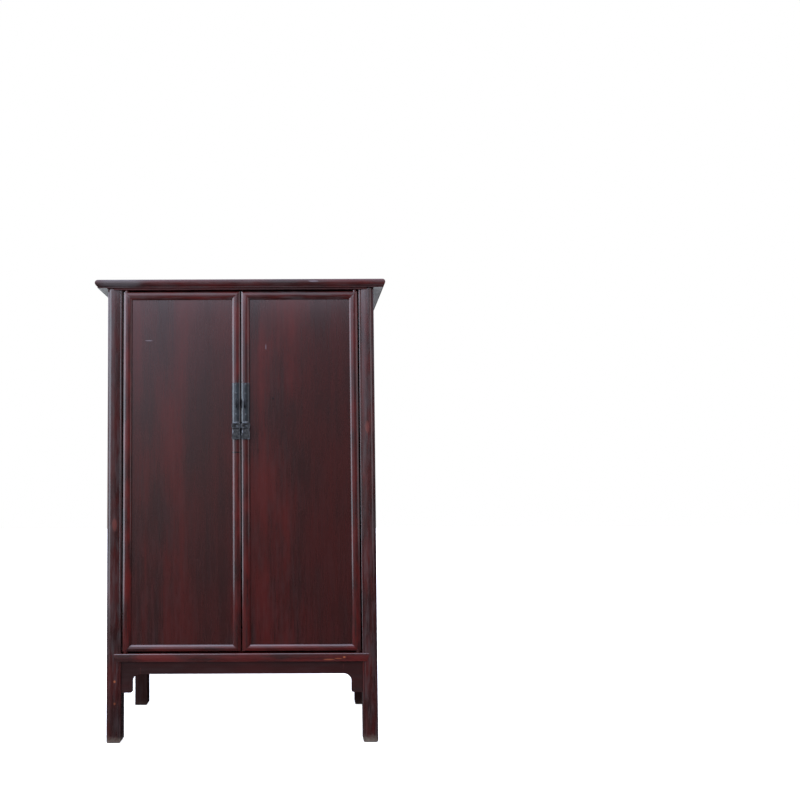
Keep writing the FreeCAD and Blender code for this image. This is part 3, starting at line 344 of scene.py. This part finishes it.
def bare_wood(name, grain, shift):
    """Unlacquered softwood inside and behind, browned by age."""
    streak_shade, edge_shade, shade_and_dirt_strength = 0.45, 0.5, 0.6
    base_roughness, streak_roughness = 0.62, 0.12
    material, bench, shader, place = finish_on(name)
    along = bench.stretched(place, grain, shift)
    zone_place = bench.stretched(place, [max(share, LEAST_BARE_ZONE) for share in grain], shift)
    wood = effect(
        bench, wood_grain, Place=along, Zone_Place=zone_place, Zone_Scale=6.0, Streak_Scale=190.0
    )
    colour = bench.tint(wood["Zones"], INNER_WOOD_DARK, INNER_WOOD)
    colour = bench.tint(bench.times(wood["Streaks"], streak_shade), colour, INNER_WOOD_DARK)
    edges = effect(bench, rubbed_edges, Place=place)
    colour = bench.tint(bench.times(edges["Mask"], edge_shade), colour, INNER_WOOD)
    # Painted shade and dirt darken the corners inside.
    shade_and_dirt = effect(bench, dirt_and_painted_shade, Place=place, Reach=0.03)
    colour = bench.tint(bench.times(shade_and_dirt["Mask"], shade_and_dirt_strength), colour, SOOT_AND_SHADE)
    bench.feed(shader["Base Color"], colour)
    rough = bench.sum_of("MULTIPLY_ADD", wood["Streaks"], streak_roughness, base_roughness)
    bench.feed(shader["Roughness"], rough)
    shader["Specular IOR Level"].default_value = 0.12
    raise_surface(bench, shader, wood["Streaks"], depth=0.0003, corner=0.0015)
    return material


def forged_iron(name, tone=IRON, corner=0.0008, rough=0.42, waxed=0.72, rubbed_reach=0.0014,
                cloud_scale=70.0, marks=()):
    """Dull hand-worked iron, darker and browner where it is pitted."""
    rust_shade, edge_shade, shade_and_dirt_strength = 0.5, 0.8, 0.8
    cloud_roughness, pit_polish = 0.18, -0.5
    material, bench, shader, place = finish_on(name)
    cloud = bench.ramp(bench.noise(place, cloud_scale, detail=5.0, roughness=0.62), 0.38, 0.66)
    pits = bench.ramp(bench.noise(place, scale=900.0, detail=3.0, roughness=0.6), 0.56, 0.68)
    colour = bench.tint(cloud, tone, IRON_DARK)
    colour = bench.tint(bench.times(pits, rust_shade), colour, RUST)
    edges = effect(bench, rubbed_edges, Place=place, Reach=rubbed_reach, Break_Scale=160.0)
    colour = bench.tint(bench.times(edges["Mask"], edge_shade), colour, IRON_BRIGHT)
    colour = marked(bench, place, colour, marks)
    # Painted shade and dirt darken the hollows of the iron.
    shade_and_dirt = effect(bench, dirt_and_painted_shade, Place=place, Reach=0.006)
    colour = bench.tint(bench.times(shade_and_dirt["Mask"], shade_and_dirt_strength), colour, SOOT_AND_SHADE)
    bench.feed(shader["Base Color"], colour)
    shader["Metallic"].default_value = 0.4
    shader["Specular IOR Level"].default_value = 0.15
    shader["Coat Roughness"].default_value = 0.13
    bench.feed(shader["Coat Weight"], bench.sum_of("MULTIPLY_ADD", pits, waxed * pit_polish, waxed))
    bench.feed(shader["Roughness"], bench.sum_of("MULTIPLY_ADD", cloud, cloud_roughness, rough))
    relief = bench.sum_of("MULTIPLY_ADD", pits, -0.5, bench.times(cloud, 0.7))
    raise_surface(bench, shader, relief, depth=0.0004, corner=corner)
    return material


# Marks on single pieces: centre, half size, colour and strength
panel_scratch = ((-0.355, -0.239, 1.5485), (0.0185, 0.005, 0.0016), PALE_SCRATCH, 0.8)
panel_chip = ((0.0966, -0.239, 1.523), (0.0018, 0.005, 0.013), PALE_SCRATCH, 0.7)
# Painted shade: the right part of each door panel is darkened towards dark lacquer.
left_panel_painted_shade = ((-0.125, -0.239, 0.95), (0.11, 0.06, 1.15), DARK_LACQUER, 0.45)
right_panel_painted_shade = ((0.370, -0.239, 0.95), (0.20, 0.06, 1.20), DARK_LACQUER, 0.55)
panel_knot = ((0.1233, -0.239, 1.324), (0.0045, 0.005, 0.0045), SOOT_AND_SHADE, 0.9)
# Painted reflection: a grey-blue sheen laid over the left end of the crown front.
crown_left_sheen = ((-0.455, -0.2665, 1.766), (0.10, 0.02, 0.03), WAX_FILM_AND_SHEEN, 0.7)
crown_smear = ((0.281, -0.2635, 1.7695), (0.024, 0.02, 0.0035), PALE_SCRATCH, 0.55)
rail_rubs = (
    ((0.335, -0.26, 0.3200), (0.026, 0.02, 0.0035), ORANGE_RUB, 0.5),
    ((0.3936, -0.26, 0.3285), (0.006, 0.02, 0.0045), ORANGE_RUB, 0.9),
    ((0.371, -0.26, 0.3235), (0.018, 0.02, 0.003), ORANGE_RUB, 0.45),
)
left_leg_rubs = (
    ((-0.488, -0.26, 0.2370), (0.005, 0.03, 0.006), ORANGE_RUB, 0.8),
    ((-0.488, -0.26, 0.1525), (0.005, 0.03, 0.006), ORANGE_RUB, 0.35),
    ((-0.4865, -0.26, 0.839), (0.012, 0.03, 0.03), RUBBED_LACQUER, 0.6),
)
right_leg_rubs = (((0.4857, -0.26, 1.211), (0.010, 0.03, 0.03), RUBBED_LACQUER, 0.6),)
stile_ghost = ((-0.02, -0.25, 1.1155), (0.03, 0.02, 0.0035), SOOT_AND_SHADE, 0.75)


def pull_shade_and_highlights(middle):
    """Painted shade in the hollows and painted highlights on the rims of one pull."""
    return [
        ((middle, -0.257, 1.2185), (0.0130, 0.02, 0.0085), SOOT_AND_SHADE, 0.85),
        ((middle - 0.003, -0.257, 1.2290), (0.0125, 0.02, 0.0022), IRON_BRIGHT, 0.75),
        ((middle + 0.004, -0.257, 1.2165), (0.0060, 0.02, 0.0016), IRON_BRIGHT, 0.45),
        ((middle, -0.257, 1.2065), (0.0170, 0.02, 0.0022), SOOT_AND_SHADE, 0.9),
        ((middle + 0.003, -0.257, 1.1745), (0.0110, 0.02, 0.0050), SOOT_AND_SHADE, 0.35),
        ((middle - 0.012, -0.257, 1.1950), (0.0030, 0.02, 0.0080), IRON_BRIGHT, 0.40),
    ]


# Each finish: grain, redness, shift of its noise, and what sets it apart
LACQUERS = {
    "left_leg_lacquer": (UP, 0.45, (0.3, 0.1, 0.0), dict(
        marks=left_leg_rubs, foot=0.75, zone_scale=20.0, gloss=0.75, waxed=0.4, shade_and_dirt_reach=0.006)),
    "right_leg_lacquer": (UP, 0.62, (0.9, 0.4, 0.2), dict(
        marks=right_leg_rubs, foot=1.0, zone_scale=20.0, gloss=0.95, waxed=0.4, shade_and_dirt_reach=0.006)),
    "rear_leg_lacquer": (UP, 0.02, (0.5, 0.7, 0.1), dict(foot=0.12, gloss=0.3)),
    "crown_front_lacquer": (ACROSS, 0.80, (0.0, 0.3, 0.4), dict(
        marks=(crown_left_sheen, crown_smear), underside=True,
        zone_scale=18.0, gloss=0.35, dullness=0.36, waxed=0.4)),
    "crown_end_lacquer": (BACK, 0.35, (0.2, 0.0, 0.5), dict(
        underside=True, gloss=0.35, dullness=0.32, waxed=0.5)),
    "crown_board_lacquer": (ACROSS, 0.25, (0.2, 0.2, 0.5), {}),
    "rail_lacquer": (ACROSS, 1.0, (0.6, 0.2, 0.1), dict(
        marks=rail_rubs, zone_scale=22.0, gloss=1.0, dullness=0.22)),
    # The strip under the crown has a wide occlusion reach, painting shade under the overhang.
    "strip_lacquer": (ACROSS, 0.5, (0.4, 0.2, 0.8), dict(gloss=0.25, dullness=0.3, shade_and_dirt_reach=0.02)),
    "side_rail_lacquer": (BACK, 0.7, (0.1, 0.6, 0.2), {}),
    "apron_lacquer": (ACROSS, 0.30, (0.7, 0.5, 0.3), dict(gloss=0.3, dullness=0.35)),
    "side_apron_lacquer": (BACK, 0.4, (0.7, 0.5, 0.3), dict(gloss=0.3, dullness=0.35)),
    "stile_lacquer": (UP, 0.9, (0.15, 0.25, 0.6), dict(
        marks=(stile_ghost,), zone_scale=26.0, gloss=0.8, dullness=0.15)),
    "door_rail_lacquer": (ACROSS, 0.9, (0.5, 0.15, 0.9), dict(
        zone_scale=26.0, gloss=0.8, dullness=0.15)),
    "door_head_lacquer": (ACROSS, 0.8, (0.5, 0.15, 0.9), dict(
        zone_scale=26.0, gloss=0.45, dullness=0.2, waxed=0.5)),
    "left_panel_lacquer": (UP, 0.50, (0.0, 0.2, 0.3), dict(marks=(left_panel_painted_shade, panel_scratch))),
    "right_panel_lacquer": (UP, 0.66, (0.37, 0.6, 0.1), dict(
        marks=(right_panel_painted_shade, panel_chip, panel_knot))),
    "side_panel_lacquer": (UP, 0.4, (0.1, 0.9, 0.3), {}),
}
BARE_WOODS = {
    "upright_bare_wood": (UP, (0.0, 0.0, 0.0)),
    "across_bare_wood": (ACROSS, (0.3, 0.1, 0.6)),
    "back_bare_wood": (BACK, (0.6, 0.2, 0.1)),
}
IRONS = {
    "plate_iron": {},
    # The pulls' wide bright edges are partly wear and partly painted highlight; their marks paint shade
    # and highlights.
    "pull_iron": dict(
        tone=PULL_IRON, corner=0.0015, rough=0.5, waxed=0.20, rubbed_reach=0.0026, cloud_scale=190.0,
        marks=pull_shade_and_highlights(-PULL_MIDDLE) + pull_shade_and_highlights(PULL_MIDDLE)),
    "lug_iron_painted_shade": dict(tone=LUG_IRON_WITH_PAINTED_SHADE, corner=0.0015, rough=0.55, waxed=0.06, rubbed_reach=0.002),
}

finishes = {}
for name, (grain, redness, shift, look) in LACQUERS.items():
    finishes[name] = lacquer(name, grain, redness, shift, **look)
for name, (grain, shift) in BARE_WOODS.items():
    finishes[name] = bare_wood(name, grain, shift)
for name, look in IRONS.items():
    finishes[name] = forged_iron(name, **look)

finish_of = {
    "front_left_leg": "left_leg_lacquer", "front_right_leg": "right_leg_lacquer",
    "rear_left_leg": "rear_leg_lacquer", "rear_right_leg": "rear_leg_lacquer",
    "crown_front_rail": "crown_front_lacquer", "crown_rear_rail": "crown_front_lacquer",
    "crown_left_end": "crown_end_lacquer", "crown_right_end": "crown_end_lacquer",
    "crown_panel": "crown_board_lacquer", "crown_battens": "back_bare_wood",
    "front_top_rail": "strip_lacquer",
    "front_bottom_rail": "rail_lacquer", "rear_bottom_rail": "rail_lacquer",
    "left_bottom_rail": "side_rail_lacquer", "right_bottom_rail": "side_rail_lacquer",
    "front_apron": "apron_lacquer", "rear_apron": "apron_lacquer",
    "front_left_spandrel": "apron_lacquer", "front_right_spandrel": "apron_lacquer",
    "left_apron": "side_apron_lacquer", "right_apron": "side_apron_lacquer",
    "left_side_spandrels": "side_apron_lacquer", "right_side_spandrels": "side_apron_lacquer",
    "left_side_panel": "side_panel_lacquer", "right_side_panel": "side_panel_lacquer",
    "left_panel_battens": "back_bare_wood", "right_panel_battens": "back_bare_wood",
    "back_upper_panel": "upright_bare_wood", "back_lower_panel": "upright_bare_wood",
    "rear_mid_rail": "across_bare_wood",
    "bottom_board": "across_bare_wood", "bottom_battens": "back_bare_wood",
    "upper_shelf": "across_bare_wood", "lower_shelf": "across_bare_wood",
    "shelf_bearers": "back_bare_wood",
}
for side in ("left", "right"):
    for piece, finish in (
        ("outer_stile", "stile_lacquer"), ("inner_stile", "stile_lacquer"),
        ("door_top_rail", "door_head_lacquer"), ("door_bottom_rail", "door_rail_lacquer"),
        ("door_panel", f"{side}_panel_lacquer"), ("door_battens", "across_bare_wood"),
        ("face_plate", "plate_iron"), ("plate_nails", "pull_iron"), ("lock_lug", "lug_iron_painted_shade"),
        ("pull_staple", "pull_iron"), ("pull", "pull_iron"),
    ):
        finish_of[f"{side}_{piece}"] = finish
for node, finish in finish_of.items():
    for slot in nodes[node].material_slots:
        slot.material = finishes[finish]


# Studio: a pale floor, soft light from the upper left, and the camera
FLOOR_SPAN = 24.0
FLOOR_GLOW = 0.80
CAMERA_PLACE = (0.2437, -2.968, 1.005)
CAMERA_ROLL = 0.004


def pale_floor():
    bpy.ops.object.select_all(action="DESELECT")
    bpy.ops.mesh.primitive_plane_add(size=FLOOR_SPAN, location=(0.0, 0.0, 0.0))
    floor = bpy.context.object
    floor.name = "studio_floor"
    material, bench, shader, place = finish_on("pale_floor")
    speckle = bench.noise(place, scale=3.0, detail=2.0, roughness=0.5)
    bench.feed(shader["Base Color"], bench.tint(speckle, FLOOR_DARK, FLOOR_LIGHT))
    shader["Roughness"].default_value = 0.9
    shader["Specular IOR Level"].default_value = 0.0
    shader["Emission Color"].default_value = WHITE
    seen = bench.add("ShaderNodeLightPath").outputs["Is Camera Ray"]
    bench.feed(shader["Emission Strength"], bench.times(seen, FLOOR_GLOW))
    floor.data.materials.append(material)
    floor.visible_glossy = False


def soft_box(name, place, aim, width, height, radiance, colour):
    data = bpy.data.lights.new(name, "AREA")
    data.shape = "RECTANGLE"
    data.size, data.size_y = width, height
    data.energy = radiance * math.pi * width * height
    data.color = colour
    lamp = bpy.data.objects.new(name, data)
    lamp.location = place
    lamp.rotation_euler = (Vector(aim) - Vector(place)).to_track_quat("-Z", "Y").to_euler()
    bpy.context.scene.collection.objects.link(lamp)


def studio_air():
    """White behind the cabinet, and a dim sky over dark ground for its reflections."""
    world = bpy.data.worlds.new("studio_air")
    bpy.context.scene.world = world
    world.use_nodes = True
    bench = Bench(world.node_tree)
    background = world.node_tree.nodes["Background"]
    direction = bench.add("ShaderNodeSeparateXYZ")
    bench.feed(direction.inputs[0], bench.add("ShaderNodeTexCoord").outputs["Generated"])
    low_rise = bench.ramp(direction.outputs["Z"], -0.20, 0.06, start=0.10, end=0.70)
    high_rise = bench.ramp(direction.outputs["Z"], 0.00, 0.28, end=1.3)
    overhead = bench.ramp(direction.outputs["Z"], 0.62, 0.95, end=4.2)
    side = bench.ramp(direction.outputs["X"], -0.25, 0.02, start=1.0, end=0.20)
    near = bench.tint(1.0, NEAR_SKY, bench.times(low_rise, side), "MULTIPLY")
    above = bench.sum_of("MULTIPLY_ADD", high_rise, side, overhead)
    far = bench.tint(1.0, FAR_SKY, above, "MULTIPLY")
    sky = bench.tint(1.0, near, far, "ADD")
    seen = bench.add("ShaderNodeLightPath").outputs["Is Camera Ray"]
    bench.feed(background.inputs["Color"], bench.tint(seen, sky, WHITE))


def photo_camera():
    data = bpy.data.cameras.new("photo_camera")
    data.sensor_width = 36.0
    data.lens = 31.8
    data.shift_x = 0.1194
    data.shift_y = 0.101
    camera = bpy.data.objects.new("photo_camera", data)
    turn = Matrix.Rotation(CAMERA_ROLL, 4, "Y") @ Matrix.Rotation(math.radians(90.0), 4, "X")
    camera.matrix_world = Matrix.Translation(CAMERA_PLACE) @ turn
    bpy.context.scene.collection.objects.link(camera)
    bpy.context.scene.camera = camera


pale_floor()
studio_air()
soft_box(
    "left_soft_box", place=(-3.9, -2.2, 1.9), aim=(-0.1, -0.26, 0.9),
    width=3.0, height=4.2, radiance=5.6, colour=(0.78, 0.90, 1.06),
)
soft_box(
    "top_soft_box", place=(-0.9, -2.9, 3.5), aim=(-0.2, -0.2, 1.2),
    width=3.8, height=2.0, radiance=4.0, colour=(0.84, 0.88, 1.06),
)
soft_box(
    "right_soft_box", place=(3.0, -2.9, 1.7), aim=(0.2, -0.26, 0.9),
    width=1.6, height=2.6, radiance=1.8, colour=(1.0, 0.93, 1.0),
)
photo_camera()
bpy.context.scene.view_settings.view_transform = "Standard"
